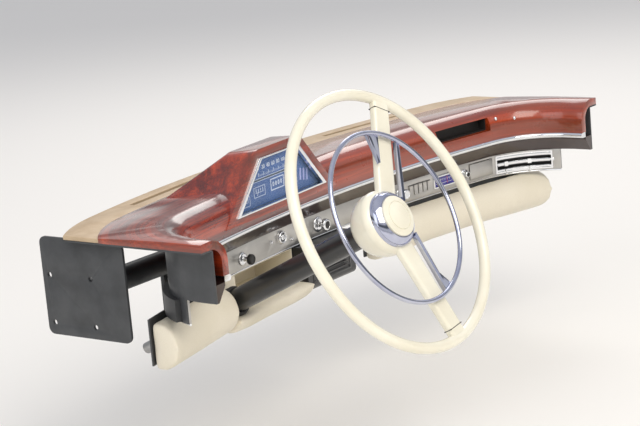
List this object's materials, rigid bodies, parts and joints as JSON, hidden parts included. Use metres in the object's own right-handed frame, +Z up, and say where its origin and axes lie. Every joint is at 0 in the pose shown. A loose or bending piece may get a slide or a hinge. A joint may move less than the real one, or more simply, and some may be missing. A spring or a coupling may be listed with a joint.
{
  "type": "dashboard with steering wheel and column",
  "caption": "Car dashboard with wood fascia and padded roll, instruments, open tray, sliding ash drawer and a steering wheel that turns on its column.",
  "frame": {"origin": "middle of the bulkhead bracket's bolted face, on the car's centreline", "axes": "+X to the passenger's side (left-hand drive), +Y forward towards the bulkhead, +Z up"},
  "size_m": [1.218, 0.6529, 0.4773],
  "materials": {
    "varnished_wood": "gloss",
    "chrome": "polished",
    "satin_strip": "satin",
    "cream_leather": "satin",
    "ivory_plastic": "gloss",
    "grey_steel": "matte",
    "black_steel": "satin",
    "bare_steel": "satin",
    "clear_glass": "gloss",
    "blue_black_face": "matte",
    "beige_plastic": "matte",
    "black_plastic": "satin"
  },
  "bodies": {
    "dashboard": {"ash_sleeve": "grey_steel", "bulkhead_bracket": "grey_steel", "button_left": "chrome", "button_right": "chrome", "chrome_moulding": "chrome", "cluster_bezel": "chrome", "cluster_face": "blue_black_face", "cluster_glass": "clear_glass", "cluster_housing": "grey_steel", "column_bracket": "grey_steel", "column_collar": "black_plastic", "column_jacket": "black_steel", "column_trim": "cream_leather", "control_strip": "satin_strip", "cross_beam": "grey_steel", "defroster_strip": "beige_plastic", "end_plate_left": "grey_steel", "end_plate_right": "grey_steel", "heater_box": "black_steel", "ignition_lock": "chrome", "knob_far_left": "chrome", "knob_left": "chrome", "knob_middle": "chrome", "lower_bearing": "bare_steel", "radio_box": "grey_steel", "radio_dial": "clear_glass", "radio_frame": "chrome", "radio_keys": "satin_strip", "radio_knob_left": "chrome", "radio_knob_right": "chrome", "roll_left": "cream_leather", "roll_lip": "cream_leather", "roll_right": "cream_leather", "slot_liner": "black_plastic", "steel_panel": "grey_steel", "strip_bead": "chrome", "tray_liner": "cream_leather", "upper_bearing": "bare_steel", "vent_left": "chrome", "vent_right": "chrome", "wood_fascia": "varnished_wood", "wood_rail": "varnished_wood"},
    "steering": {"wheel_rim": "ivory_plastic", "wheel_spokes": "ivory_plastic", "hub_ring": "chrome", "hub_pad": "ivory_plastic", "horn_ring": "chrome", "steering_shaft": "bare_steel"},
    "ash_drawer": {"ash_drawer": "satin_strip"}
  },
  "joints": [
    {"name": "steering", "type": "hinge", "parent": "dashboard", "child": "steering", "pos_m": [-0.335, -0.549, 0.106], "axis": [0, -0.8973, 0.4415], "range_deg": [-708.65, 551.35]},
    {"name": "ash_drawer_slide", "type": "slide", "parent": "dashboard", "child": "ash_drawer", "axis": [-0.1993, -0.9799, 0], "range_m": [0, 0.038]}
  ]
}
